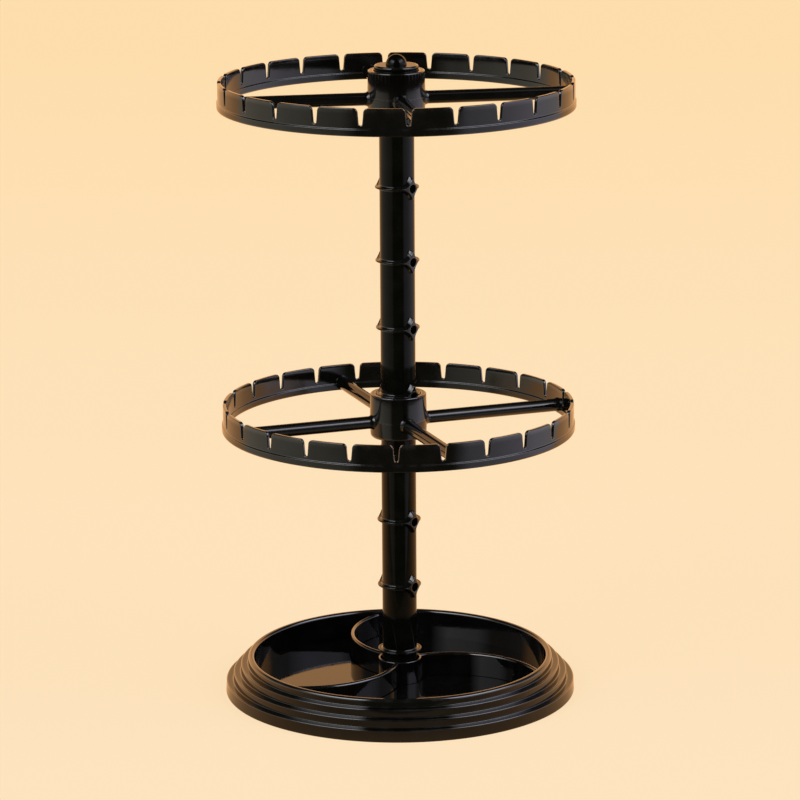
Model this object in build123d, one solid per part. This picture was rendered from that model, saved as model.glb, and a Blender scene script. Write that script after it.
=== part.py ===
"""Nail polish rack: two free-turning notched wheels on a plug-together post over a round tray.

Millimetres, +Z up. The origin is the centre of the tray's underside, on the post's axis.
Pieces: base_tray, lower_post, middle_post, upper_post, top_cap, lower_wheel, upper_wheel.
"""
import os
from math import acos, cos, degrees, radians, sin, sqrt, tan

from build123d import *

# Tray
tray_r = 78.4             # outer radius at the foot of the stepped skirt
tray_h = 16.2             # top of the rim
step_count = 4            # risers of the skirt
step_run = 3.3            # each riser stands this much further in than the one below
step_rise = 3.6           # height of every riser but the lowest
step_draft = 0.3          # each riser leans in by this much
step_round = 0.5          # rounding along each riser's top edge
skirt_wall = 2.0
rim_width = 2.8           # width of the rim's rounded top
rim_round = 1.1           # rounding of its two edges
floor_top = 3.8
floor_wall = 2.0
floor_round = 3.0         # fillet between floor and wall
divider_count = 3
divider_wall = 2.2
divider_drop = 1.8        # divider's top below the rim's
divider_bite = 0.9        # its end runs this far into the tray's wall
divider_pass = 1.1        # nearest that its curve comes to the axis
divider_end = 75.0        # at the curve's centre, degrees from straight outwards to where it meets the wall
divider_turn = 62.9       # direction of the curve's centre, degrees from +X
cup_wall = 0.9            # thin wall round the foot of the post
cup_drop = 2.0            # cup's top below the rim's
stub_h = 8.0              # plug on the tray's floor that fills the foot of the post

# Post
post_r = 7.7
post_wall = 2.2
neck_step = 0.2           # the foot below the collar is this much thicker in radius
cup_gap = 0.9             # gap between neck and cup
collar_z = 18.3
node_pitch = 30.2
node_count_lower = 3      # peg rings above the collar on the lower post
node_count_middle = 3
node_count_upper = 2
node_to_end = 18.2        # last peg ring of a post to that post's upper end
seam_to_node = 14.5       # seam between middle and upper post to the next peg ring
web_to_node = 5.9         # shoulder on the lower wheel's web to the next peg ring
node_to_top = 11.8        # last peg ring to the top of the post
flange_r = 9.7
flange_t = 0.8
lug_half_w = 3.4
lug_half_h = 4.8
lug_tip = 0.3             # half width of the lug's upper and lower tips
lug_waist = 1.95          # middle of each bowed-in side, across and up from the centre
lug_turn = 47.0           # direction of the lugs, degrees from the Y axis
peg_r = 1.95
socket_depth = 12.0
top_socket_depth = 7.0
septum = 2.0              # wall between a socket and the hollow of the post
plug_clearance = 0.05     # radial, plug in socket
run_past = 1.0            # cutters and trimming bodies end this far past a face

# Wheels
wheel_r = 78.3
rim_wall = 2.6
rim_h = 3.0
rim_edge = 0.5            # rounding of the rim's lower edges
tab_wall = 1.6
tab_edge = 0.4            # rounding along the tops of the tabs
tab_set_in = 0.5          # tab's outer face stands in from the rim's
band_h = 11.9             # rim and tabs together
notch_count = 24
notch_floor = 4.6         # above the band's underside
notch_half_w = 0.75        # at the notch's rounded floor
notch_round = 0.55
notch_mid_half_w = 1.1    # where the flare begins
notch_top_half_w = 1.4    # straight sides carried up to the tab tops
tab_round = 1.9           # rounded upper corners of each tab
spoke_count = 4
spoke_r = 2.85
spoke_flare = 0.5         # trumpet at both ends
spoke_blend = 1.0         # radius of the trumpet's hollow side
spoke_drop = 12.4         # hub's top edge to the spoke's centre line
spoke_from_notch = 5.75   # degrees
band_drop = 16.0          # hub's top edge to the band's underside
hub_wall = 2.7
hub_h = 19.7
hub_draft = 0.3
hub_clearance = 0.3       # radial, peg rings and cap in the recesses above and below the web
hub_round = 1.4           # rounding of the hub's lower edge
hub_edge = 0.45           # rounding of its upper edges
web_floor = 10.5          # hub's underside to the web's
web_t = 2.8
web_gap = 0.2             # above and below the web
web_clearance = 0.1       # radial, web on the plug that it turns about
lower_wheel_turn = 20.0   # direction of a spoke, degrees from +X
upper_wheel_turn = 9.5

# Cap
cap_t = 2.6
cap_round = 0.9
cap_edge = 0.3            # rounding of the disc's lower edge
cap_sink = 0.3            # underside of the disc below the hub's top edge
knob_r = 4.6

# Places worked out from the sizes above
rim_outer = tray_r - (step_count - 1) * step_run - step_draft
wall_top_r = rim_outer - rim_width
wall_foot_r = wall_top_r - step_draft
divider_top = tray_h - divider_drop
cup_top = tray_h - cup_drop
divider_open = 1 + cos(radians(divider_end))
divider_spare = wall_top_r ** 2 - divider_pass ** 2
divider_root = sqrt((divider_pass * divider_open) ** 2 + 2 * divider_open * divider_spare)
divider_arc_r = (divider_root - divider_pass * divider_open) / (2 * divider_open)
divider_arc_out = divider_arc_r + divider_pass
neck_r = post_r + neck_step
cup_r = neck_r + cup_gap + cup_wall
bore_r = post_r - post_wall
plug_r = bore_r - plug_clearance
hub_bore_r = flange_r + hub_clearance
hub_r = hub_bore_r + hub_wall
cap_r = hub_bore_r - hub_clearance
lower_end = collar_z + node_count_lower * node_pitch + node_to_end
lower_hub_z = lower_end + web_gap - web_floor
middle_start = lower_end + 2 * web_gap + web_t
first_middle_node = middle_start + web_to_node
middle_end = first_middle_node + (node_count_middle - 1) * node_pitch + node_to_end
first_upper_node = middle_end + seam_to_node
upper_end = first_upper_node + (node_count_upper - 1) * node_pitch + node_to_top
upper_hub_z = upper_end + web_gap - web_floor
cap_start = upper_end + 2 * web_gap + web_t
cap_z = upper_hub_z + hub_h - cap_sink


def outline(corners):
    """Face in the XZ plane through (x, z, rounding) corners, each rounded by a tangent arc."""
    points = [Vector(x, 0, z) for x, z, rounding in corners]
    starts = []
    ends = []
    edges = []
    for i, (x, z, rounding) in enumerate(corners):
        back = (points[i - 1] - points[i]).normalized()
        onward = (points[(i + 1) % len(points)] - points[i]).normalized()
        half_angle = radians(back.get_angle(onward)) / 2
        reach = rounding / tan(half_angle)
        starts.append(points[i] + back * reach)
        ends.append(points[i] + onward * reach)
        if rounding > 0:
            inward = (back + onward).normalized()
            middle = points[i] + inward * (rounding / sin(half_angle) - rounding)
            edges.append(ThreePointArc(starts[i], middle, ends[i]))
    for i in range(len(points)):
        edges.append(Line(ends[i - 1], starts[i]))
    return make_face(edges)


def turned(corners):
    """Solid turned about Z from (radius, height, rounding) corners."""
    return revolve(outline(corners), axis=Axis.Z)


def drum(radius, bottom, top):
    """Upright cylinder between two heights."""
    return Pos(0, 0, bottom) * Cylinder(radius, top - bottom, align=(Align.CENTER, Align.CENTER, Align.MIN))


def ring(outer, inner, bottom, top):
    """Upright tube between two heights."""
    return drum(outer, bottom, top) - drum(inner, bottom, top)


def around(shape, count, first=0.0):
    """Copies of a shape at equal angles about Z."""
    return [Rot(0, 0, first + i * 360 / count) * shape for i in range(count)]


def tray_shell():
    """Stepped skirt, rim, wall and floor as one turned shell, open underneath."""
    skirt = []
    for i in range(step_count):
        radius = tray_r - i * step_run
        foot = 0.0 if i == 0 else tray_h - (step_count - i) * step_rise
        head = tray_h - (step_count - 1 - i) * step_rise
        skirt.append((radius, foot, 0))
        skirt.append((radius - step_draft, head, step_round))
    skirt[-1] = (rim_outer, tray_h, rim_round)
    inside = [
        (wall_top_r, tray_h, rim_round),
        (wall_foot_r, floor_top, floor_round),
        (0, floor_top, 0),
        (0, floor_top - floor_wall, 0),
        (wall_foot_r + skirt_wall, floor_top - floor_wall, 0),
    ]
    under = []
    for i in reversed(range(step_count - 1)):
        radius = tray_r - i * step_run - skirt_wall
        head = tray_h - (step_count - 1 - i) * step_rise - skirt_wall
        under.append((radius - step_run if i < step_count - 2 else wall_foot_r + skirt_wall, head, 0))
        under.append((radius, head, 0))
    under.append((tray_r - skirt_wall, 0, 0))
    return turned(skirt + inside + under)


def turn_to_reach(radius):
    """Angle at the divider curve's centre of the point that lies this far from the axis."""
    across = radius ** 2 - divider_arc_out ** 2 - divider_arc_r ** 2
    return degrees(acos(across / (2 * divider_arc_out * divider_arc_r)))


def divider():
    """Curved wall from the cup to the tray's wall, its curve's centre on +X."""
    start = turn_to_reach(cup_r - cup_wall / 2)
    end = turn_to_reach(wall_top_r + divider_wall)
    outer = CenterArc((divider_arc_out, 0), divider_arc_r + divider_wall / 2, end, start - end)
    inner = CenterArc((divider_arc_out, 0), divider_arc_r - divider_wall / 2, end, start - end)
    plan = make_face([outer, Line(outer @ 1, inner @ 1), inner, Line(inner @ 0, outer @ 0)])
    wall = Pos(0, 0, floor_top - floor_wall / 2) * extrude(plan, divider_top - floor_top + floor_wall / 2)
    return wall & drum(wall_top_r + divider_bite, 0, tray_h)


def base_tray():
    """Round tray with curved dividers, a thin cup and the stub that the post plugs onto."""
    tray = tray_shell() + ring(cup_r, cup_r - cup_wall, floor_top - floor_wall / 2, cup_top)
    tray += around(divider(), divider_count, divider_turn)
    return tray + drum(plug_r, floor_top - floor_wall / 2, floor_top + stub_h)


def peg_ring(z):
    """Thin flange with a pair of opposite diamond lugs, each cut round to the flange's radius."""
    side = flange_t / 2
    right_up = ThreePointArc((lug_half_w, 0, side), (lug_waist, 0, lug_waist), (lug_tip, 0, lug_half_h))
    left_up = ThreePointArc((-lug_tip, 0, lug_half_h), (-lug_waist, 0, lug_waist), (-lug_half_w, 0, side))
    left_down = ThreePointArc((-lug_half_w, 0, -side), (-lug_waist, 0, -lug_waist), (-lug_tip, 0, -lug_half_h))
    right_down = ThreePointArc((lug_tip, 0, -lug_half_h), (lug_waist, 0, -lug_waist), (lug_half_w, 0, -side))
    sides = [right_up, left_up, left_down, right_down]
    links = [Line(sides[i - 1] @ 1, sides[i] @ 0) for i in range(len(sides))]
    bar = extrude(make_face(sides + links), flange_r + run_past, both=True)
    lugs = bar & drum(flange_r, -lug_half_h - run_past, lug_half_h + run_past)
    return Pos(0, 0, z) * (drum(flange_r, -side, side) + Rot(0, 0, lug_turn) * lugs)


def peg_hole(z):
    """Round hole through both lugs of a peg ring."""
    across = Cylinder(peg_r, 2 * (flange_r + run_past), rotation=(90, 0, 0))
    return Pos(0, 0, z) * Rot(0, 0, lug_turn) * across


def hollow_post(start, end, first_node, node_count, depth, hollow_start):
    """Round post with its peg rings, a socket in its upper end and a hollow below that."""
    nodes = [first_node + i * node_pitch for i in range(node_count)]
    post = drum(post_r, start, end) + [peg_ring(z) for z in nodes]
    post -= drum(bore_r, end - depth, end)
    post -= drum(bore_r, hollow_start, end - depth - septum)
    return post - [peg_hole(z) for z in nodes]


def lower_post():
    """Post with a thick neck and a plain collar over the tray's cup, open onto the tray's stub."""
    post = hollow_post(
        collar_z, lower_end, collar_z + node_pitch, node_count_lower, socket_depth, collar_z)
    foot = drum(neck_r, floor_top, collar_z) + drum(flange_r, collar_z - flange_t / 2, collar_z + flange_t / 2)
    return post + (foot - drum(bore_r, floor_top, collar_z + flange_t))


def middle_post():
    """Post whose plug passes through the lower wheel's web into the lower post."""
    post = hollow_post(
        middle_start, middle_end, first_middle_node, node_count_middle, socket_depth, middle_start + septum)
    return post + drum(plug_r, lower_end - socket_depth, middle_start)


def upper_post():
    """Short post that plugs into the middle one and carries the upper wheel."""
    post = hollow_post(
        middle_end, upper_end, first_upper_node, node_count_upper, top_socket_depth, middle_end + septum)
    return post + drum(plug_r, middle_end - socket_depth, middle_end)


def top_cap():
    """Disc with a domed knob, and a plug that passes through the upper wheel's web."""
    disc = turned([
        (0, cap_z, 0),
        (cap_r, cap_z, cap_edge),
        (cap_r, cap_z + cap_t, cap_round),
        (0, cap_z + cap_t, 0),
    ])
    knob = Pos(0, 0, cap_z + cap_t) * Sphere(knob_r)
    knob &= drum(knob_r, cap_z + cap_t / 2, cap_z + cap_t + knob_r)
    return disc + knob + drum(post_r, cap_start, cap_z) + drum(plug_r, upper_end - top_socket_depth, cap_start)


def hub():
    """Short drum with a parting step round its middle, and a thin web between two recesses."""
    web_r = plug_r + web_clearance
    parting_z = hub_h - spoke_drop
    return turned([
        (hub_bore_r, 0, 0),
        (hub_r - hub_draft, 0, hub_round),
        (hub_r, parting_z, 0),
        (hub_r - hub_draft / 2, parting_z, 0),
        (hub_r - hub_draft, hub_h, hub_edge),
        (hub_bore_r, hub_h, hub_edge),
        (hub_bore_r, web_floor + web_t, 0),
        (web_r, web_floor + web_t, 0),
        (web_r, web_floor, 0),
        (hub_bore_r, web_floor, 0),
    ])


def spoke():
    """Round bar along +X from hub to band, flared like a trumpet at both ends."""
    start = (hub_r + hub_bore_r) / 2
    flare_start = hub_r - spoke_flare / 2
    end = wheel_r - tab_set_in - tab_wall / 2
    flare_end = wheel_r - rim_wall
    profile = outline([
        (start, 0, 0),
        (start, spoke_r + spoke_flare, 0),
        (flare_start, spoke_r + spoke_flare, 0),
        (flare_start + spoke_flare, spoke_r, spoke_blend),
        (flare_end - spoke_flare, spoke_r, spoke_blend),
        (flare_end, spoke_r + spoke_flare / 2, 0),
        (end, spoke_r + spoke_flare / 2, 0),
        (end, 0, 0),
    ])
    return Pos(0, 0, hub_h - spoke_drop) * revolve(profile, axis=Axis.X)


def band():
    """Thick rim with a thinner wall standing on it, before the notches are cut."""
    tab_outer = wheel_r - tab_set_in
    tab_inner = tab_outer - tab_wall
    foot = hub_h - band_drop
    return turned([
        (wheel_r, foot, rim_edge),
        (wheel_r, foot + rim_h, rim_edge / 2),
        (tab_outer, foot + rim_h, 0),
        (tab_outer, foot + band_h, tab_edge),
        (tab_inner, foot + band_h, tab_edge),
        (tab_inner, foot + rim_h, 0),
        (wheel_r - rim_wall, foot + rim_h, rim_edge / 2),
        (wheel_r - rim_wall, foot, rim_edge),
    ])


def notch():
    """Cutter for one notch across the band at +X: narrow at the floor, flared at the top."""
    foot = hub_h - band_drop
    low = foot + notch_floor
    middle = (low + foot + band_h) / 2
    top = foot + band_h
    wide = notch_top_half_w + tab_round + run_past
    right = [
        (notch_half_w, low, notch_round),
        (notch_mid_half_w, middle, 0),
        (notch_top_half_w, top, tab_round),
        (wide, top, 0),
        (wide, top + run_past, 0),
    ]
    left = [(-x, z, rounding) for x, z, rounding in reversed(right)]
    cutter = extrude(outline(right + left), rim_wall + run_past, both=True)
    return Rot(0, 0, 90) * Pos(0, -wheel_r, 0) * cutter


def wheel(underside, turn):
    """Hub, spokes and notched band as one moulding."""
    body = hub() + around(spoke(), spoke_count) + band()
    body -= around(notch(), notch_count, -spoke_from_notch)
    return Pos(0, 0, underside) * Rot(0, 0, turn) * body


if __name__ == "__main__":
    os.makedirs("parts", exist_ok=True)
    export_step(base_tray(), "parts/base_tray.step")
    export_step(lower_post(), "parts/lower_post.step")
    export_step(middle_post(), "parts/middle_post.step")
    export_step(upper_post(), "parts/upper_post.step")
    export_step(top_cap(), "parts/top_cap.step")
    export_step(wheel(lower_hub_z, lower_wheel_turn), "parts/lower_wheel.step")
    export_step(wheel(upper_hub_z, upper_wheel_turn), "parts/upper_wheel.step")
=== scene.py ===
import bpy
import numpy as np
from mathutils import Euler, Matrix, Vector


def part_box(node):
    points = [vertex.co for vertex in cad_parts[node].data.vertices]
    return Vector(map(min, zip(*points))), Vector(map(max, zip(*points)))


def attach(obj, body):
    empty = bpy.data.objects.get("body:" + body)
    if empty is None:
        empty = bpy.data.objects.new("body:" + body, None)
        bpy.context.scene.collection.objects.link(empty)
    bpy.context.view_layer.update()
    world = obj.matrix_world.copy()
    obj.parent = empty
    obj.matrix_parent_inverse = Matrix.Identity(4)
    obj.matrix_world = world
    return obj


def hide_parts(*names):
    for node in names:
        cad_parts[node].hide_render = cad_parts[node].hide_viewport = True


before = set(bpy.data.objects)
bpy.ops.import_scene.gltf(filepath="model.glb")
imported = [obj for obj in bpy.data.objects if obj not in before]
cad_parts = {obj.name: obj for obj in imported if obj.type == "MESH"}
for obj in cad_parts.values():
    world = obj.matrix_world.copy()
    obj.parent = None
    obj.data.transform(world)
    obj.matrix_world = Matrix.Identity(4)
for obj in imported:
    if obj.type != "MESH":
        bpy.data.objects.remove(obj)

MM = 0.001
TURN = 2 * np.pi
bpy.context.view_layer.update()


def low(node):
    return np.array(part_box(node)[0]) / MM


def high(node):
    return np.array(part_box(node)[1]) / MM


# Tray
TRAY_R = high("base_tray")[0]
TRAY_H = high("base_tray")[2]
STEPS = 4
STEP_RUN = 3.3
STEP_RISE = 3.6
DRAFT = 0.3
STEP_ROUND = 0.45
STEP_FOOT_ROUND = 0.25
EDGE_ROUND = 0.3             # ordinary moulded edge
RIM_WIDTH = 2.8
RIM_ROUND = RIM_WIDTH * 0.42
SKIN = 2.0                   # wall of the skirt and the floor
FLOOR_TOP = 3.8
ROOT_SINK = 0.6              # walls that stand on the floor reach this far into it
ROOT_SPREAD = 0.5            # and are this much wider inside it
RIM_OUTER = TRAY_R - (STEPS - 1) * STEP_RUN - DRAFT
WALL_R = RIM_OUTER - RIM_WIDTH
DIVIDER_TOP = TRAY_H - 1.8
DIVIDER_W = 2.2
DIVIDERS = 3
DIVIDER_LEAN = 0.06          # its top is this much narrower on each side
DIVIDER_PASS = 1.1           # nearest that its curve comes to the axis
DIVIDER_OPEN = 1 + np.cos(np.radians(75))
DIVIDER_ROOT = (DIVIDER_PASS * DIVIDER_OPEN) ** 2 + 2 * DIVIDER_OPEN * (WALL_R ** 2 - DIVIDER_PASS ** 2)
DIVIDER_R = (np.sqrt(DIVIDER_ROOT) - DIVIDER_PASS * DIVIDER_OPEN) / (2 * DIVIDER_OPEN)
DIVIDER_OUT = DIVIDER_R + DIVIDER_PASS
DIVIDER_TURN = 62.9          # direction of the first curve's centre, degrees from +X
CUP_R = 9.7
CUP_WALL = 0.9
CUP_TOP = TRAY_H - 2.0
STUB_TOP = FLOOR_TOP + 8.0

# Post
POST_R = 7.7
NECK_R = 7.9
BORE_R = 5.5
PLUG_R = 5.45
COLLAR_Z = 18.3
RING_PITCH = 30.2
FLANGE_R = 9.7
FLANGE_T = 0.8
FLANGE_ROUND = 0.25
FLANGE_ROOT = 0.6            # hollow where a flange meets the post
LUG_TURN = 137.0             # direction of one lug of each pair, degrees from +X
LUG_HALF_W = 3.9
LUG_HALF_H = 4.8
LUG_TIP = 0.3
LUG_WAIST = 1.95             # middle of each bowed-in side, across and up from the centre
LUG_EDGE = 0.3
LUG_ROOT_R = 5.3             # the lugs end this far from the axis, inside the post's wall
PEG_R = 1.95
PEG_ROUND = 0.25
SOCKET = 12.0
TOP_SOCKET = 7.0
SEPTUM = 2.0                 # wall between a socket and the hollow of the post
PLUG_ROUND = 0.4
MOUTH_ROUND = 0.2            # mouth of a socket
LOWER_END = high("lower_post")[2]
WEB_T = 2.8
WEB_SPACE = WEB_T + 0.4
MIDDLE_START = low("middle_post")[2] + SOCKET + WEB_SPACE
MIDDLE_END = high("middle_post")[2]
UPPER_END = high("upper_post")[2]
LOWER_RINGS = COLLAR_Z + RING_PITCH * np.arange(1, 4)
MIDDLE_RINGS = MIDDLE_START + 5.9 + RING_PITCH * np.arange(3)
UPPER_RINGS = MIDDLE_END + 14.5 + RING_PITCH * np.arange(2)

# Wheels
WHEEL_R = high("upper_wheel")[0]
RIM_WALL = 2.6
TAB_IN = 0.5
TAB_WALL = 1.6
RIM_H = 3.0
RIM_FOOT_ROUND = 0.5
TAB_ROOT = 0.35              # hollow where the tabs meet the rim
BAND_H = 11.9
NOTCHES = 24
NOTCH_FLOOR = 4.6
NOTCH_HALF = (0.75, 1.1, 1.4)   # half widths at the floor, half-way up and at the top
NOTCH_BEND = 4.0             # rounding half-way up a notch's sides
TAB_ROUND = 1.9
TAB_EDGE = 0.4
SPOKES = 4
SPOKE_R = 2.85
SPOKE_DROP = 12.4            # hub's top edge to the spoke's centre line
SPOKE_FLARE = 0.5
NOTCH_TO_SPOKE = 5.75        # degrees
BAND_DROP = 16.0             # hub's top edge to the band's underside
HUB_R = 12.7
HUB_H = 19.7
HUB_DRAFT = 0.3
HUB_ROUND = 1.4
HUB_BORE_R = 10.0
PARTING_Z = HUB_H - 11.9
PARTING_DEPTH = 0.14
WEB_FLOOR = 10.5             # hub's underside to the web that turns on the plug
WEB_CLEARANCE = 0.1

# Cap
CAP_R = 9.7
CAP_T = 2.6
CAP_ROUND = 0.9
CAP_SINK = 0.3
KNOB_R = 4.6


# ---------------------------------------------------------------- shapes

def unit(v):
    """Each row divided by its own length."""
    return v / np.maximum(np.linalg.norm(v, axis=-1, keepdims=True), 1e-12)


def rounded(corners, steps=6, margin=0.3):
    """Outline through (across, up, rounding) corners, as rows of (across, up, edge).

    A corner gives way to the arc that touches both of its sides: the arc's centre lies on the
    bisector at rounding / sin(half the corner's angle), and its points are the first spoke turned
    by equal angles. Each side also gets a point a little before and after every arc, where edge,
    which is 1 along an arc, is back at 0.
    """
    c = np.asarray(corners, float)
    p, r = c[:, :2], c[:, 2]
    back, onward = unit(np.roll(p, 1, 0) - p), unit(np.roll(p, -1, 0) - p)
    half = np.arccos(np.clip((back * onward).sum(1), -1, 1)) / 2
    reach = r / np.tan(np.maximum(half, 1e-6))
    centre = p + unit(back + onward) * (r / np.sin(half))[:, None]
    first = p + back * reach[:, None] - centre
    side = np.sign(onward[:, 0] * back[:, 1] - onward[:, 1] * back[:, 0])
    turn = (side * (np.pi - 2 * half))[:, None] * np.linspace(0, 1, steps + 1)
    cos, sin = np.cos(turn), np.sin(turn)
    arc = centre[:, None] + np.stack([
        first[:, :1] * cos - first[:, 1:] * sin, first[:, :1] * sin + first[:, 1:] * cos], -1)
    free = np.linalg.norm(np.roll(p, -1, 0) - p, axis=1) - reach - np.roll(reach, -1)
    step_on = np.minimum(margin, np.maximum(free, 0) / 3)
    before = p + back * (reach + np.roll(step_on, 1))[:, None]
    after = p + onward * (reach + step_on)[:, None]
    run = np.concatenate([before[:, None], arc, after[:, None]], 1)
    edge = np.ones(run.shape[:2])
    edge[:, [0, -1]] = 0
    keep = np.repeat((r > 0)[:, None], steps + 3, 1)
    keep[:, 1] = True
    edge[r == 0] = 0
    run[r == 0, 1] = p[r == 0]
    out = np.concatenate([run, edge[..., None]], -1)[keep]
    return out


def weave(rows, cols, wrap_rows, wrap_cols):
    """Four-sided faces between neighbouring points of a grid, wrapped round where asked."""
    i, j = np.meshgrid(np.arange(rows - (not wrap_rows)), np.arange(cols - (not wrap_cols)), indexing="ij")
    i2, j2 = (i + 1) % rows, (j + 1) % cols
    return np.stack([i * cols + j, i2 * cols + j, i2 * cols + j2, i * cols + j2], -1).reshape(-1, 4)


def shell(points, edge, wrap_rows=True, wrap_cols=True):
    """One closed skin from a grid of points, its coincident points merged and its faces turned outwards.

    The skin's volume is a sixth of the sum of each face's corner triple products; where that is
    negative, the faces are turned over.
    """
    faces = weave(*points.shape[:2], wrap_rows, wrap_cols)
    flat = points.reshape(-1, 3)
    _, kept, where = np.unique(np.round(flat, 5), axis=0, return_index=True, return_inverse=True)
    faces = where.reshape(-1)[faces]
    flat, edge = flat[kept], np.broadcast_to(edge, points.shape[:2]).reshape(-1)[kept]
    a, b, c, d = (flat[faces[:, k]] for k in range(4))
    volume = (np.cross(b, c) * a).sum() + (np.cross(c, d) * a).sum()
    if volume < 0:
        faces = faces[:, ::-1]
    same = faces == np.roll(faces, -1, 1)
    quads = faces[same.sum(1) == 0]
    lone = same.sum(1) == 1
    tris = faces[lone][~same[lone]].reshape(-1, 3)
    return flat, edge, quads, tris


def turned(outline, around):
    """Skin swept by an outline of (radius, height, edge) rows that turns about the post's axis:
    each point is (radius cos a, radius sin a, height)."""
    a = np.arange(around) * TURN / around
    r, z, edge = outline.T
    points = np.stack([np.outer(np.cos(a), r), np.outer(np.sin(a), r), np.tile(z, (around, 1))], -1)
    return shell(points, edge)


def spun(skin, angle, lift=0.0):
    """The same skin turned about the post's axis by degrees and lifted."""
    a = np.radians(angle)
    turn = np.array([[np.cos(a), np.sin(a), 0], [-np.sin(a), np.cos(a), 0], [0, 0, 1]])
    return (skin[0] @ turn + [0, 0, lift], *skin[1:])


def cast(name, skins, node, body, finish):
    """One piece from closed skins, in metres, standing for a CAD node and riding on its body."""
    starts = np.cumsum([0] + [len(s[0]) for s in skins[:-1]])
    points = np.concatenate([s[0] for s in skins]) * MM
    faces = [f for s, start in zip(skins, starts) for part in s[2:] for f in (part + start).tolist()]
    mesh = bpy.data.meshes.new(name)
    mesh.from_pydata(points.tolist(), [], faces)
    edge = mesh.attributes.new("edge", "FLOAT", "POINT")
    edge.data.foreach_set("value", np.concatenate([s[1] for s in skins]).astype(np.float32))
    mesh.polygons.foreach_set("use_smooth", np.ones(len(mesh.polygons), bool))
    mesh.set_sharp_from_angle(angle=np.radians(32))
    mesh.materials.append(finish)
    made = bpy.data.objects.new(name, mesh)
    bpy.context.scene.collection.objects.link(made)
    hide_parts(node)
    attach(made, body)
    return made


def bored(piece, cutters):
    """The piece with holes cut by closed skins, which are then thrown away."""
    for skin in cutters:
        mesh = bpy.data.meshes.new("drill")
        mesh.from_pydata((skin[0] * MM).tolist(), [], [f for part in skin[2:] for f in part.tolist()])
        drill = bpy.data.objects.new("drill", mesh)
        bpy.context.scene.collection.objects.link(drill)
        cut = piece.modifiers.new("hole", "BOOLEAN")
        cut.operation, cut.solver, cut.object = "DIFFERENCE", "EXACT", drill
        solid = bpy.data.meshes.new_from_object(piece.evaluated_get(bpy.context.evaluated_depsgraph_get()))
        piece.modifiers.clear()
        old, piece.data = piece.data, solid
        solid.name = piece.name
        bpy.data.meshes.remove(old)
        bpy.data.objects.remove(drill)
        bpy.data.meshes.remove(mesh)


# ---------------------------------------------------------------- tray

def tray_skin():
    """Stepped skirt, rounded rim, wall and floor, and the hollow underneath, turned as one outline."""
    outline = []
    for i in range(STEPS):
        r = TRAY_R - i * STEP_RUN
        foot = TRAY_H - (STEPS - i) * STEP_RISE if i else 0.0
        head = TRAY_H - (STEPS - 1 - i) * STEP_RISE
        outline += [(r, foot, STEP_FOOT_ROUND if i else EDGE_ROUND), (r - DRAFT, head, STEP_ROUND)]
    outline[-1] = (RIM_OUTER, TRAY_H, RIM_ROUND)
    under_r = WALL_R - DRAFT + SKIN
    outline += [
        (WALL_R, TRAY_H, RIM_ROUND), (WALL_R - DRAFT, FLOOR_TOP, 0), (0, FLOOR_TOP, 0),
        (0, FLOOR_TOP - SKIN, 0), (under_r, FLOOR_TOP - SKIN, EDGE_ROUND)]
    for i in reversed(range(STEPS - 1)):
        r = TRAY_R - i * STEP_RUN - SKIN
        head = TRAY_H - (STEPS - 1 - i) * STEP_RISE - SKIN
        inner = under_r if i == STEPS - 2 else r - STEP_RUN
        outline += [(inner, head, EDGE_ROUND), (r, head, EDGE_ROUND)]
    outline.append((TRAY_R - SKIN, 0, EDGE_ROUND))
    return turned(rounded(outline), 288)


def divider_skin(turn):
    """Curved wall between two compartments: a section with a half-round top and a foot sunk into the
    floor is carried along a circular path; each point is kept between the cup's wall and the tray's."""
    half = DIVIDER_W / 2
    wide = half + ROOT_SPREAD
    foot = FLOOR_TOP - ROOT_SINK
    top_half = half - DIVIDER_LEAN
    top_round = half * 0.94
    section = rounded([
        (-wide, foot, 0), (-wide, FLOOR_TOP, 0), (-half, FLOOR_TOP, 0), (-top_half, DIVIDER_TOP, top_round),
        (top_half, DIVIDER_TOP, top_round), (half, FLOOR_TOP, 0), (wide, FLOOR_TOP, 0), (wide, foot, 0)])

    def along(radius):
        reach = (radius ** 2 - DIVIDER_OUT ** 2 - DIVIDER_R ** 2) / (2 * DIVIDER_OUT * DIVIDER_R)
        return np.arccos(reach)

    t = np.linspace(along(CUP_R - 0.5), along(WALL_R + 4.0), 120)
    across, z, edge = section.T
    reach = DIVIDER_R + across[None]
    x = DIVIDER_OUT + reach * np.cos(t)[:, None]
    y = reach * np.sin(t)[:, None]
    r = np.hypot(x, y)
    kept = np.clip(r, CUP_R - 0.65, WALL_R + 1.3)
    points = np.stack([x * kept / r, y * kept / r, np.broadcast_to(z, x.shape)], -1)
    middle = np.array([points[0].mean(0), points[-1].mean(0)])
    caps = np.broadcast_to(middle[:, None], (2, *points.shape[1:]))
    points = np.concatenate([caps[:1], points, caps[1:]])
    return spun(shell(points, edge, False, True), turn)


def cup_skin():
    """Thin cup round the foot of the post, its top rounded and its foot sunk into the floor."""
    inner = CUP_R - CUP_WALL
    wide = CUP_R + ROOT_SPREAD
    foot = FLOOR_TOP - ROOT_SINK
    top_round = CUP_WALL * 0.42
    return turned(rounded([
        (inner, foot, 0), (wide, foot, 0), (wide, FLOOR_TOP, 0), (CUP_R, FLOOR_TOP, 0),
        (CUP_R - 0.1, CUP_TOP, top_round), (inner, CUP_TOP, top_round)]), 128)


def stub_skin():
    """Short plug on the floor inside the cup, for the foot of the post."""
    foot = FLOOR_TOP - ROOT_SINK
    return turned(rounded([(0, foot, 0), (PLUG_R, foot, 0), (PLUG_R, STUB_TOP, 0.5), (0, STUB_TOP, 0)]), 72)


# ---------------------------------------------------------------- post

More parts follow.
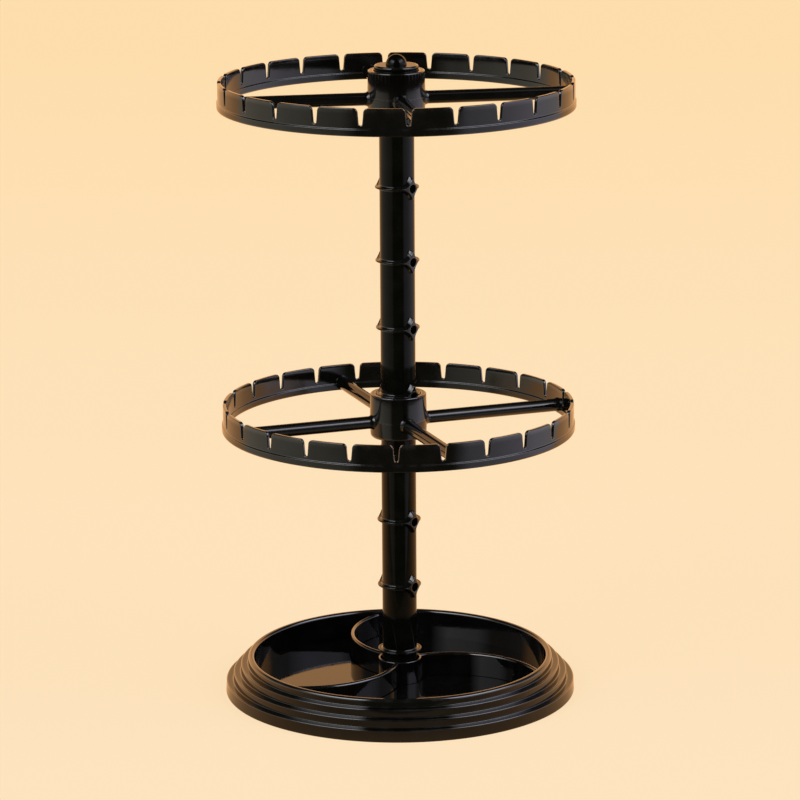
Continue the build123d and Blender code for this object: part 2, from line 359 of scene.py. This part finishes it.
def flange(z, below_r=POST_R):
    """Corners of a thin flange round the post at a height, with small hollows at its roots."""
    low_z, high_z = z - FLANGE_T / 2, z + FLANGE_T / 2
    return [(below_r, low_z, FLANGE_ROOT), (FLANGE_R, low_z, FLANGE_ROUND),
            (FLANGE_R, high_z, FLANGE_ROUND), (POST_R, high_z, FLANGE_ROOT)]


def lug_skin(z, turn):
    """Diamond lug with its peg hole: in its own plane a point lies at polar angle t, at a share s of
    the way from the hole's rim to the diamond's bowed-in side; the face is laid on the flange's
    cylinder, both rims are rounded, and the sides run back into the post."""
    side = FLANGE_T / 2
    # a circle through the side tip, the waist and the upper tip bounds a quarter of the diamond, and
    # each direction away from the lug's centre meets that circle at a distance of rho
    a, b, c = (np.array(p) for p in ((LUG_HALF_W, side), (LUG_WAIST, LUG_WAIST), (LUG_TIP, LUG_HALF_H)))
    m = np.array([b - a, c - a]) * 2
    centre = np.linalg.solve(m, [(b @ b - a @ a), (c @ c - a @ a)])
    bow = np.linalg.norm(a - centre)
    first, last = np.arctan2(a[1], a[0]), np.arctan2(c[1], c[0])
    t = np.linspace(first, last, 22)
    away = np.stack([np.cos(t), np.sin(t)], -1)
    toward = away @ centre
    rho = toward - np.sqrt(np.maximum(toward ** 2 - centre @ centre + bow ** 2, 0))
    quarter = away * rho[:, None]
    half = np.concatenate([quarter, quarter[::-1] * [-1, 1]])
    rim = np.concatenate([half, -half])
    polar = np.arctan2(rim[:, 1], rim[:, 0])
    hole = np.stack([np.cos(polar), np.sin(polar)], -1) * PEG_R
    roll = np.linspace(0, np.pi / 2, 5)

    def ring(flat, radius):
        """Rim points at a distance from the axis, on the cylinder of that radius."""
        return np.stack([np.sqrt(np.maximum(radius ** 2 - flat[:, 0] ** 2, 0)), flat[:, 0], flat[:, 1]], -1)

    def inside(flat):
        """Rim points on a flat inside the post's wall."""
        return np.stack([np.full(len(flat), LUG_ROOT_R), *flat.T], -1)

    def lay(points, worn=0):
        rows.append(points)
        edge.append(worn)

    inset = unit(rim) * LUG_EDGE
    rows, edge = [], []
    lay(inside(hole))
    lay(ring(hole, FLANGE_R - 2 * PEG_ROUND))
    for q in roll:
        mouth = hole * (1 + PEG_ROUND / PEG_R * (1 - np.cos(q)))
        lay(ring(mouth, FLANGE_R - PEG_ROUND * (1 - np.sin(q))), 1)
    for s in (0.15, 0.5, 0.85):
        lay(ring(hole * (1 + PEG_ROUND / PEG_R) * (1 - s) + (rim - inset) * s, FLANGE_R))
    for q in roll:
        lay(ring(rim - inset * (1 - np.sin(q)), FLANGE_R - LUG_EDGE * (1 - np.cos(q))), 1)
    side_from = FLANGE_R - 2 * LUG_EDGE
    lay(ring(rim, side_from))
    for s in (0.35, 0.7, 1.0):
        # the sides widen as they near the post, like the mouth of a trumpet
        flat = rim * [1 + 0.55 * s, 1 + 0.15 * s ** 2]
        lay(ring(flat, side_from * (1 - s) + (POST_R - 0.4) * s))
    lay(inside(hole * 1.4))
    return spun(shell(np.stack(rows), np.array(edge, float)[:, None]), turn, z)


def drill_skin(z, turn):
    """Cutter for one peg hole through the post's wall, hidden by the lug's own hole."""
    wide = PEG_R + 0.3
    t = np.arange(32) * TURN / 32
    x = np.array([BORE_R - 1.5, BORE_R - 1.5, FLANGE_R + 1.0, FLANGE_R + 1.0])
    r = np.array([0, wide, wide, 0])
    points = np.stack([np.tile(x[:, None], (1, 32)), np.outer(r, np.cos(t)), np.outer(r, np.sin(t))], -1)
    return spun(shell(points, 0.0, False, True), turn, z)


def post_piece(name, corners, ring_heights, finish, lug_finish):
    """A hollow post turned from its outline, with a pair of opposite lugs at each peg ring."""
    lugs, drills = [], []
    for z in ring_heights:
        for turn in (LUG_TURN, LUG_TURN + 180):
            lugs.append(lug_skin(z, turn))
            drills.append(drill_skin(z, turn))
    bored(cast(name + ".tube", [turned(rounded(corners), 144)], name, "stand", finish), drills)
    cast(name + ".lugs", lugs, name, "stand", lug_finish)


def lower_post(finish, lug_finish):
    """The first segment: a thicker neck under a plain collar, and a wall below its socket."""
    socket_z = LOWER_END - SOCKET
    corners = [(BORE_R, FLOOR_TOP, MOUTH_ROUND), (NECK_R, FLOOR_TOP, EDGE_ROUND), *flange(COLLAR_Z, NECK_R)]
    for z in LOWER_RINGS:
        corners += flange(z)
    corners += [(POST_R, LOWER_END, 0), (BORE_R, LOWER_END, MOUTH_ROUND), (BORE_R, socket_z, 0),
                (0, socket_z, 0), (0, socket_z - SEPTUM, 0), (BORE_R, socket_z - SEPTUM, 0)]
    post_piece("lower_post", corners, LOWER_RINGS, finish, lug_finish)


def plugged_post(name, start, end, rings, socket, finish, lug_finish):
    """A post segment with a plug below its shoulder and a socket in its upper end."""
    plug_from = low(name)[2]
    corners = [(0, plug_from, 0), (PLUG_R, plug_from, PLUG_ROUND), (PLUG_R, start, 0), (POST_R, start, 0)]
    for z in rings:
        corners += flange(z)
    corners += [(POST_R, end, 0), (BORE_R, end, MOUTH_ROUND), (BORE_R, end - socket, 0), (0, end - socket, 0)]
    post_piece(name, corners, rings, finish, lug_finish)


# ---------------------------------------------------------------- wheels

def notch_line():
    """The band's upper outline unrolled, as rows of (angle, height, outward across, outward up).

    One period runs along a tab's top, round its corner, down a notch's side, round the notch's
    floor and up again; it is repeated for every notch.
    """
    mean_r = WHEEL_R - TAB_IN - TAB_WALL / 2
    pitch = TURN * mean_r / NOTCHES
    middle = (NOTCH_FLOOR + BAND_H) / 2
    low_w, mid_w, top_w = NOTCH_HALF
    one = [(-top_w, BAND_H, TAB_ROUND), (-mid_w, middle, NOTCH_BEND), (-low_w, NOTCH_FLOOR, low_w * 0.95),
           (low_w, NOTCH_FLOOR, low_w * 0.95), (mid_w, middle, NOTCH_BEND), (top_w, BAND_H, TAB_ROUND)]
    three = [(x + k * pitch, z, r) for k in (-1, 0, 1) for x, z, r in one]
    end = 1.5 * pitch
    line = rounded([(-end, 0, 0), (-end, BAND_H, 0), *three, (end, BAND_H, 0), (end, 0, 0)],
                   steps=6, margin=0.4)[:, :2]
    line = line[(line[:, 0] > -pitch / 2) & (line[:, 0] < pitch / 2)]
    # the tab's straight top gets more points, so that the band stays round
    top = np.linspace(line[-1, 0], pitch + line[0, 0], 10)[1:-1]
    line = np.concatenate([line, np.stack([top, np.full(len(top), BAND_H)], -1)])
    whole = np.concatenate([line + [k * pitch, 0] for k in range(NOTCHES)])
    loop = np.concatenate([whole[-1:] - [NOTCHES * pitch, 0], whole, whole[:1] + [NOTCHES * pitch, 0]])
    step = unit(loop[2:] - loop[:-2])
    out = np.stack([-step[:, 1], step[:, 0]], -1)
    return whole, out, mean_r


def band_skin(turn):
    """Notched band: at each point of its upper outline, a section runs up the outer face, rolls over
    the edge along the outline's own normal, and comes down the inner face to the underside."""
    line, out, mean_r = notch_line()
    tab_out, tab_in = WHEEL_R - TAB_IN, WHEEL_R - TAB_IN - TAB_WALL
    rim_in = WHEEL_R - RIM_WALL
    above = RIM_H + 1
    foot = rounded([
        (rim_in + 0.9, 0, 0), (WHEEL_R, 0, RIM_FOOT_ROUND), (WHEEL_R, RIM_H, EDGE_ROUND),
        (tab_out, RIM_H, TAB_ROOT), (tab_out, above, 0), (tab_in, above, 0), (tab_in, RIM_H, TAB_ROOT),
        (rim_in, RIM_H, EDGE_ROUND), (rim_in, 0, RIM_FOOT_ROUND)], steps=4, margin=0.2)
    split = int(np.argmax((foot[:, 0] == tab_out) & (foot[:, 1] == above)))
    outer, inner = foot[:split], foot[split + 2:]
    base = line - out * TAB_EDGE  # where both faces end and the rounding begins
    face_from = RIM_H + 0.6
    roll = np.linspace(0, np.pi / 2, 5)
    rows, edge = [], []

    def row(radius, along, up, worn):
        a = along / mean_r
        rows.append(np.stack([radius * np.cos(a), radius * np.sin(a), np.broadcast_to(up, a.shape)], -1))
        edge.append(worn)

    for r, z, worn in outer:
        row(r, base[:, 0], z, worn)
    for s in (0.25, 0.75):
        row(tab_out, base[:, 0], face_from + (base[:, 1] - face_from) * s, 0)
    for q in roll:
        p = line - out * TAB_EDGE * (1 - np.sin(q))
        row(tab_out - TAB_EDGE * (1 - np.cos(q)), p[:, 0], p[:, 1], 1)
    for q in roll[::-1]:
        p = line - out * TAB_EDGE * (1 - np.sin(q))
        row(tab_in + TAB_EDGE * (1 - np.cos(q)), p[:, 0], p[:, 1], 1)
    for s in (0.75, 0.25):
        row(tab_in, base[:, 0], face_from + (base[:, 1] - face_from) * s, 0)
    for r, z, worn in inner:
        row(r, base[:, 0], z, worn)
    return spun(shell(np.stack(rows), np.array(edge, float)[:, None]), turn)


def spoke_skin(turn, lift):
    """Round spoke: a circle carried out along its own line, its radius swelling like a trumpet at
    both ends as the square of the way into each flare."""
    start, end = HUB_R - 1.2, WHEEL_R - TAB_IN - TAB_WALL / 2
    x = np.concatenate([
        np.linspace(start, start + 4, 12), np.linspace(start + 6, end - 5, 6), np.linspace(end - 4, end, 9)])
    near = np.clip(1 - (x - HUB_R) / 1.4, 0, 1.3)
    far = np.clip(1 - (WHEEL_R - RIM_WALL - x) / 1.2, 0, 1.1)
    r = SPOKE_R + SPOKE_FLARE * near ** 2 + 0.4 * far ** 2
    x, r = np.concatenate([x[:1], x, x[-1:]]), np.concatenate([[0], r, [0]])
    t = np.arange(48) * TURN / 48
    points = np.stack([np.tile(x[:, None], (1, 48)), np.outer(r, np.cos(t)), np.outer(r, np.sin(t))], -1)
    return spun(shell(points, 0.0, False, True), turn, lift)


def hub_skin():
    """Hub turned from its outline: recesses above and below a thin web, and a fine parting line."""
    web_r = PLUG_R + WEB_CLEARANCE
    web_top = WEB_FLOOR + WEB_T
    groove_r = HUB_R - PARTING_DEPTH
    return turned(rounded([
        (HUB_BORE_R, 0, EDGE_ROUND), (HUB_R - HUB_DRAFT, 0, HUB_ROUND),
        (HUB_R, PARTING_Z, 0), (HUB_R, PARTING_Z + 0.05, 0), (groove_r, PARTING_Z + 0.12, 0.05),
        (groove_r, PARTING_Z + 0.34, 0.05), (HUB_R - 0.04, PARTING_Z + 0.42, 0.05),
        (HUB_R - HUB_DRAFT, HUB_H, 0.5), (HUB_BORE_R, HUB_H, 0.4), (HUB_BORE_R, web_top, EDGE_ROUND),
        (web_r, web_top, 0.1), (web_r, WEB_FLOOR, 0.1), (HUB_BORE_R, WEB_FLOOR, EDGE_ROUND)]), 144)


def wheel(name, spoke_turn, finish):
    """Hub, four spokes and the notched band as one moulding."""
    under = low(name)[2]
    top = under + HUB_H
    skins = [spun(hub_skin(), 0, under), spun(band_skin(spoke_turn - NOTCH_TO_SPOKE), 0, top - BAND_DROP)]
    skins += [spoke_skin(spoke_turn + 90 * i, top - SPOKE_DROP) for i in range(SPOKES)]
    cast(name + ".moulding", skins, name, name, finish)


def top_cap(finish):
    """Disc with a domed knob over a plug; the dome is a quarter circle turned about the axis."""
    foot = low("upper_wheel")[2] + HUB_H - CAP_SINK
    face = foot + CAP_T
    t = np.linspace(0.02, np.pi / 2, 24)
    dome = np.stack([KNOB_R * np.cos(t), face + KNOB_R * np.sin(t), np.zeros(24)], -1)
    dome[-1, 0] = 0
    shoulder = UPPER_END + WEB_SPACE
    plug_from = UPPER_END - TOP_SOCKET
    disc = rounded([
        (0, face, 0), (KNOB_R, face, 0), (CAP_R, face, CAP_ROUND), (CAP_R, foot, EDGE_ROUND),
        (POST_R, foot, 0), (POST_R, shoulder, 0), (PLUG_R, shoulder, 0),
        (PLUG_R, plug_from, PLUG_ROUND), (0, plug_from, 0)])
    outline = np.concatenate([dome[::-1], disc[1:]])
    cast("cap.moulding", [turned(outline, 144)], "top_cap", "stand", finish)


# ---------------------------------------------------------------- finishes

class Wire:
    """An output socket in a node tree. Arithmetic on wires adds Math nodes."""

    def __init__(self, tree, socket):
        self.tree = tree
        self.socket = socket

    def node(self, kind, settings=None, sockets=None, output=0):
        """Adds one node: its settings first, then the values or wires of its sockets."""
        made = self.tree.nodes.new(kind)
        for name, value in (settings or {}).items():
            if name == "stops":
                for stop, (place, colour) in zip(ramp_stops(made, len(value)), value):
                    stop.position = place
                    stop.color = colour
            else:
                setattr(made, name, value)
        for name, value in (sockets or {}).items():
            if isinstance(value, Wire):
                self.tree.links.new(value.socket, made.inputs[name])
            else:
                made.inputs[name].default_value = value
        return Wire(self.tree, made.outputs[output]) if made.outputs else None

    def math(self, operation, first, second):
        return self.node("ShaderNodeMath", {"operation": operation}, {0: first, 1: second})

    def __add__(self, other):
        return self.math("ADD", self, other)

    def __sub__(self, other):
        return self.math("SUBTRACT", self, other)

    def __rsub__(self, other):
        return self.math("SUBTRACT", other, self)

    def __mul__(self, other):
        return self.math("MULTIPLY", self, other)

    def __truediv__(self, other):
        return self.math("DIVIDE", self, other)

    def __rtruediv__(self, other):
        return self.math("DIVIDE", other, self)

    __radd__ = __add__
    __rmul__ = __mul__

    def between(self, start, end):
        """0 below start and 1 above end, straight in between."""
        sockets = {0: self, 1: start, 2: end, 3: 0.0, 4: 1.0}
        return self.node("ShaderNodeMapRange", {"clamp": True}, sockets)

    def blend(self, colour_a, colour_b):
        """A colour that goes from a to b as this wire goes from 0 to 1."""
        return self.node("ShaderNodeMix", {"data_type": "RGBA"}, {0: self, 6: colour_a, 7: colour_b}, 2)


def ramp_stops(ramp, count):
    """The stops of a colour ramp, as many as are needed."""
    elements = ramp.color_ramp.elements
    while len(elements) < count:
        elements.new(0.5)
    return elements


def new_material(name):
    material = bpy.data.materials.new(name)
    material.use_nodes = True
    tree = material.node_tree
    tree.nodes.clear()
    return material, Wire(tree, None)


DUST_GREY = (0.16, 0.14, 0.12, 1.0)


def moulded_black(name, tone, gloss, dusty, handled, uneven, shine=0.5):
    """Glossy black moulding. Gloss varies in slow clouds and fine grain; a slow swell and a fine
    orange peel bend the reflections; handled edges are duller and paler; faint dust lies on
    upward faces."""
    material, start = new_material(name)
    place = start.node("ShaderNodeTexCoord", output=3)
    facing = start.node("ShaderNodeNewGeometry", output=1)
    up = facing.node("ShaderNodeSeparateXYZ", sockets={0: facing}, output=2)
    edge = start.node("ShaderNodeAttribute", {"attribute_name": "edge"}, output=2)

    def clouds(scale, detail, rough=0.5):
        return place.node("ShaderNodeTexNoise", None, {
            "Vector": place, "Scale": scale, "Detail": detail, "Roughness": rough})

    slow = clouds(38.0, 2.0)
    patch = clouds(130.0, 3.0)
    grain = clouds(2600.0, 2.0, 0.6)
    specks = clouds(900.0, 4.0, 0.7)
    smear = place.node("ShaderNodeTexNoise", None, {
        "Vector": place.node("ShaderNodeMapping", None, {"Vector": place, "Scale": (90.0, 90.0, 900.0)}),
        "Scale": 1.0, "Detail": 4.0, "Roughness": 0.6})
    worn = edge * patch.between(0.45, 0.7)
    dust = up.between(0.55, 1.0) * specks.between(0.52, 0.78) * dusty
    cloudy = slow.between(0.35, 0.7)
    smeared = smear.between(0.5, 0.75)
    rough = gloss + 0.4 * gloss * cloudy + 0.4 * gloss * smeared + handled * worn + 0.35 * dust
    pale = tuple(3.2 * v + 0.02 for v in tone[:3]) + (1.0,)
    colour = (worn * 0.35 + patch.between(0.4, 0.8) * 0.12).blend(tone, pale)
    colour = (dust * 0.5).blend(colour, DUST_GREY)
    swell = slow * 0.7 + patch * 0.3
    bump = swell.node("ShaderNodeBump", None, {
        "Strength": 0.25 * uneven, "Distance": 0.0006, "Height": swell})
    bump = bump.node("ShaderNodeBump", None, {
        "Strength": 0.12, "Distance": 0.00002, "Height": grain + smear * 0.6, "Normal": bump})
    shader = start.node("ShaderNodeBsdfPrincipled", None, {
        "Base Color": colour, "Roughness": rough, "IOR": 1.53, "Specular IOR Level": shine,
        "Coat Weight": edge * 0.8, "Coat Roughness": 0.04, "Normal": bump})
    start.node("ShaderNodeOutputMaterial", None, {0: shader})
    return material


# ---------------------------------------------------------------- studio

CREAM = (1.0, 0.723, 0.423, 1.0)
WARM = (1.15, 0.60, 0.255, 1.0)
WARM_DIM = (0.27, 0.19, 0.11, 1.0)
DARK = (0.03, 0.03, 0.03, 1.0)
DUSK = (0.05, 0.05, 0.035, 1.0)
LEFT_LOW = (0.30, 0.28, 0.24, 1.0)
FLOOR_NEAR = (1.0, 0.767, 0.482, 1.0)
FLOOR_FAR = (1.0, 0.717, 0.362, 1.0)
FLOOR_GLOW = 0.90
FLOOR_PAPER = (0.13, 0.13, 0.13, 1.0)
FLOOR_REACH = 8              # metres from the rack to each side of the floor


def faded_glow(name):
    """Warm light of the table top as the rack mirrors it, dimmer in front of the rack."""
    material, start = new_material(name)
    place = start.node("ShaderNodeTexCoord", output=3)
    far = place.node("ShaderNodeSeparateXYZ", None, {0: place}, 1)
    tone = far.between(-0.11, 0.02).blend(WARM_DIM, WARM)
    light = start.node("ShaderNodeEmission", None, {"Color": tone})
    start.node("ShaderNodeOutputMaterial", None, {0: light})
    return material


def flat_sheet(name, corners, material):
    """One four-sided sheet, part of the studio and not of the rack."""
    mesh = bpy.data.meshes.new(name)
    mesh.from_pydata(corners, [], [(0, 1, 2, 3)])
    mesh.materials.append(material)
    made = bpy.data.objects.new(name, mesh)
    bpy.context.scene.collection.objects.link(made)
    return made


def pale_floor():
    """Wide cream floor: mostly even, a little deeper in tone far behind the rack."""
    material, start = new_material("cream_paper")
    place = start.node("ShaderNodeTexCoord", output=3)
    far = place.node("ShaderNodeSeparateXYZ", None, {0: place}, 1)
    tone = far.between(-0.2, 1.9).blend(FLOOR_NEAR, FLOOR_FAR)
    light = start.node("ShaderNodeEmission", None, {"Color": tone, "Strength": FLOOR_GLOW})
    paper = start.node("ShaderNodeBsdfDiffuse", None, {"Color": FLOOR_PAPER})
    both = start.node("ShaderNodeAddShader", None, {0: light, 1: paper})
    start.node("ShaderNodeOutputMaterial", None, {0: both})
    around = ((-1, -1), (1, -1), (1, 1), (-1, 1))
    floor = flat_sheet("floor", [(FLOOR_REACH * x, FLOOR_REACH * y, 0) for x, y in around], material)
    floor.visible_glossy = False


def around_sky():
    """World light: cream to the eye; for reflections a dark room in front, a dim card on the left, a
    brighter cool one on the right and warm cream behind. Low, middle and high directions each have
    their own round of colours, and straight above is dark."""
    world = bpy.data.worlds.new("studio")
    bpy.context.scene.world = world
    world.use_nodes = True
    world.node_tree.nodes.clear()
    start = Wire(world.node_tree, None)
    way = start.node("ShaderNodeTexCoord", output=0)
    x = way.node("ShaderNodeSeparateXYZ", None, {0: way}, 0)
    y = way.node("ShaderNodeSeparateXYZ", None, {0: way}, 1)
    z = way.node("ShaderNodeSeparateXYZ", None, {0: way}, 2)
    # 0.5 straight in front, falling to 0 on the left side round to the back and rising to 1 on the right
    turn = start.math("ARCTAN2", x, 0.0 - y) / TURN + 0.5

    def all_round(stops):
        """Colours by direction: rows of (turn, colour)."""
        return turn.node("ShaderNodeValToRGB", {"stops": stops}, {0: turn})

    room = all_round([
        (0.0, WARM), (0.15, WARM), (0.18, (0.75, 0.66, 0.50, 1)), (0.28, (0.72, 0.68, 0.55, 1)),
        (0.40, (0.40, 0.38, 0.31, 1)), (0.43, DUSK), (0.60, DUSK),
        (0.63, (0.62, 0.60, 0.68, 1)), (0.78, (1.05, 0.99, 1.14, 1)), (0.85, (0.75, 0.68, 0.66, 1)),
        (0.87, WARM), (1.0, WARM)])
    boxes = all_round([
        (0.0, WARM), (0.15, WARM), (0.18, LEFT_LOW), (0.28, LEFT_LOW),
        (0.32, (1.3, 1.3, 1.4, 1)), (0.39, (1.7, 1.7, 1.8, 1)), (0.43, DARK), (0.60, DARK),
        (0.64, (1.5, 1.5, 1.8, 1)), (0.73, (1.3, 1.3, 1.6, 1)), (0.79, (0.4, 0.38, 0.4, 1)),
        (0.85, (0.3, 0.28, 0.26, 1)), (0.87, WARM), (1.0, WARM)])
    overhead = all_round([
        (0.0, DARK), (0.25, DARK), (0.30, (3.5, 3.5, 3.7, 1)), (0.41, (7.0, 7.0, 7.4, 1)),
        (0.43, DARK), (0.60, DARK), (0.62, (4.8, 4.8, 5.4, 1)), (0.75, (3.6, 3.6, 4.2, 1)),
        (0.80, DARK), (1.0, DARK)])
    lit = z.between(0.10, 0.22).blend(room, boxes)
    lit = z.between(0.36, 0.50).blend(lit, overhead)
    lit = z.between(0.66, 0.80).blend(lit, DARK)
    shown = start.node("ShaderNodeLightPath", output=0)
    both = shown.blend(lit, CREAM)
    light = start.node("ShaderNodeBackground", None, {"Color": both, "Strength": 1.0})
    start.node("ShaderNodeOutputWorld", None, {0: light})


def studio():
    """Floor, a table sheet that shows in reflections alone, room light and one soft lamp overhead."""
    pale_floor()
    around_sky()
    corners = [(-0.45, -0.14, 0), (0.45, -0.14, 0), (0.6, 2.4, 0), (-0.6, 2.4, 0)]
    sheet = flat_sheet("table_sheet", corners, faded_glow("sheet_glow"))
    sheet.visible_camera = False
    sheet.visible_diffuse = False
    sheet.visible_shadow = False
    sheet.visible_transmission = False
    lamp = bpy.data.lights.new("soft_lamp", "AREA")
    lamp.shape = "RECTANGLE"
    lamp.size = 1.2
    lamp.size_y = 0.9
    lamp.energy = 1.0
    lamp.color = (1.0, 0.95, 0.88)
    holder = bpy.data.objects.new("soft_lamp", lamp)
    holder.matrix_world = Matrix.Translation((0.9, -0.4, 1.5)) @ Euler((0.25, 0.5, 0)).to_matrix().to_4x4()
    bpy.context.scene.collection.objects.link(holder)


CAMERA_PLACE = (0, -1.6575, 0.5419)
CAMERA_DOWN = 0.2418         # radians below level
CAMERA_ROLL = -0.0064
CAMERA_LENS = 173.4
CAMERA_SHIFT = 0.0021


def camera():
    """Long lens in front of the rack and a little above it, tipped down."""
    lens = bpy.data.cameras.new("camera")
    lens.sensor_fit = "HORIZONTAL"
    lens.sensor_width = 36.0
    lens.lens = CAMERA_LENS
    lens.shift_x = CAMERA_SHIFT
    lens.clip_end = 60.0
    made = bpy.data.objects.new("camera", lens)
    tilt = Euler((np.radians(90) - CAMERA_DOWN, 0, 0)).to_matrix().to_4x4()
    made.matrix_world = Matrix.Translation(CAMERA_PLACE) @ tilt @ Matrix.Rotation(CAMERA_ROLL, 4, "Z")
    bpy.context.scene.collection.objects.link(made)
    bpy.context.scene.camera = made


# ---------------------------------------------------------------- the rack

tray_black = moulded_black("tray_black", (0.0016, 0.0016, 0.0013, 1.0), gloss=0.03,
                           dusty=0.12, handled=0.08, uneven=0.25)
post_black = moulded_black("post_black", (0.0016, 0.0018, 0.0010, 1.0), gloss=0.05,
                           dusty=0.10, handled=0.10, uneven=0.5, shine=0.14)
lug_black = moulded_black("lug_black", (0.0016, 0.0018, 0.0014, 1.0), gloss=0.06,
                          dusty=0.10, handled=0.10, uneven=0.5)
wheel_black = moulded_black("wheel_black", (0.0018, 0.0018, 0.0014, 1.0), gloss=0.08,
                            dusty=0.12, handled=0.12, uneven=0.8)

tray_skins = [tray_skin(), cup_skin(), stub_skin()]
tray_skins += [divider_skin(DIVIDER_TURN + 360 / DIVIDERS * i) for i in range(DIVIDERS)]
cast("tray.moulding", tray_skins, "base_tray", "stand", tray_black)
lower_post(post_black, lug_black)
plugged_post("middle_post", MIDDLE_START, MIDDLE_END, MIDDLE_RINGS, SOCKET, post_black, lug_black)
plugged_post("upper_post", MIDDLE_END, UPPER_END, UPPER_RINGS, TOP_SOCKET, post_black, lug_black)
wheel("lower_wheel", 20.0, wheel_black)
wheel("upper_wheel", 9.5, wheel_black)
top_cap(post_black)

studio()
camera()
bpy.context.scene.view_settings.view_transform = "Standard"
bpy.context.scene.view_settings.look = "None"
